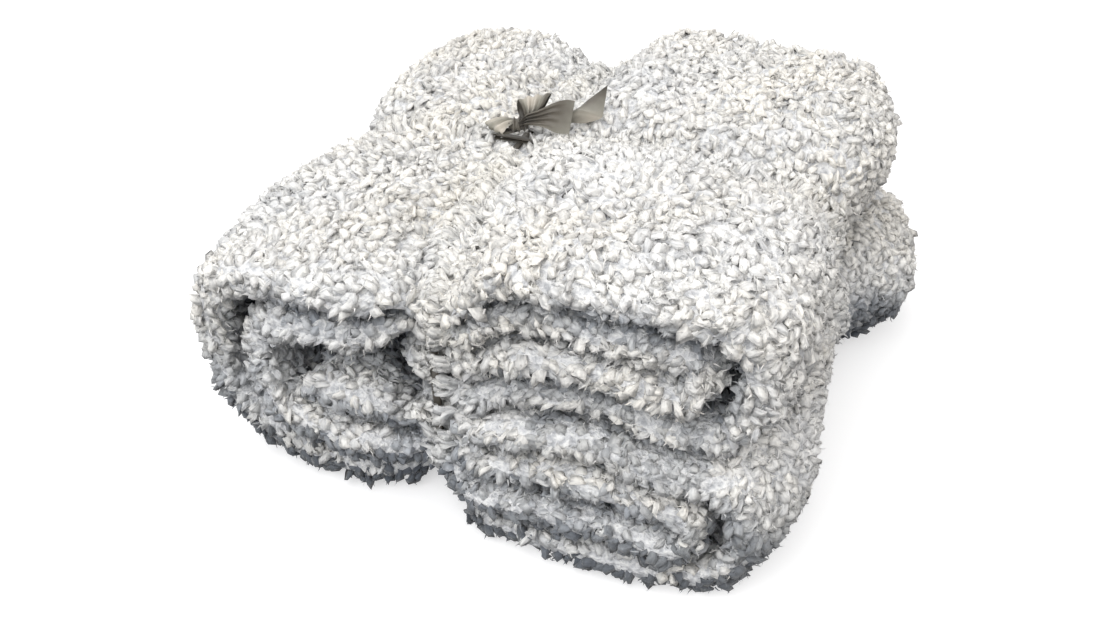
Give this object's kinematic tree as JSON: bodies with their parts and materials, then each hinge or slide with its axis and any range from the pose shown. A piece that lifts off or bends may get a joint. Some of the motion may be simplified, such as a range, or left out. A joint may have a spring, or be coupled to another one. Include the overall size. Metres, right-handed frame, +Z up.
{
  "type": "folded fleece throw",
  "caption": "Thick curly sherpa fleece throw, folded into a soft stack with rounded fold edges and tied crosswise with a satin ribbon and bow.",
  "frame": {"origin": "centre of the bounding box in plan, on the surface that the throw rests on", "axes": "+X along the width of the stack, from the large rolled fold to the paired folds; +Y from the front, with its rounded fold edges, to the back; +Z up"},
  "size_m": [0.405, 0.3556, 0.2032],
  "materials": {
    "fleece": "heathered white and light grey curly sherpa pile",
    "satin": "dark taupe satin ribbon with a soft sheen"
  },
  "bodies": {
    "root": {"throw": "fleece", "ribbon_long": "satin", "ribbon_cross": "satin", "ribbon_knot": "satin", "bow_loop_left": "satin", "bow_loop_rear": "satin", "bow_tail_middle": "satin", "bow_tail_right": "satin"}
  },
  "joints": []
}
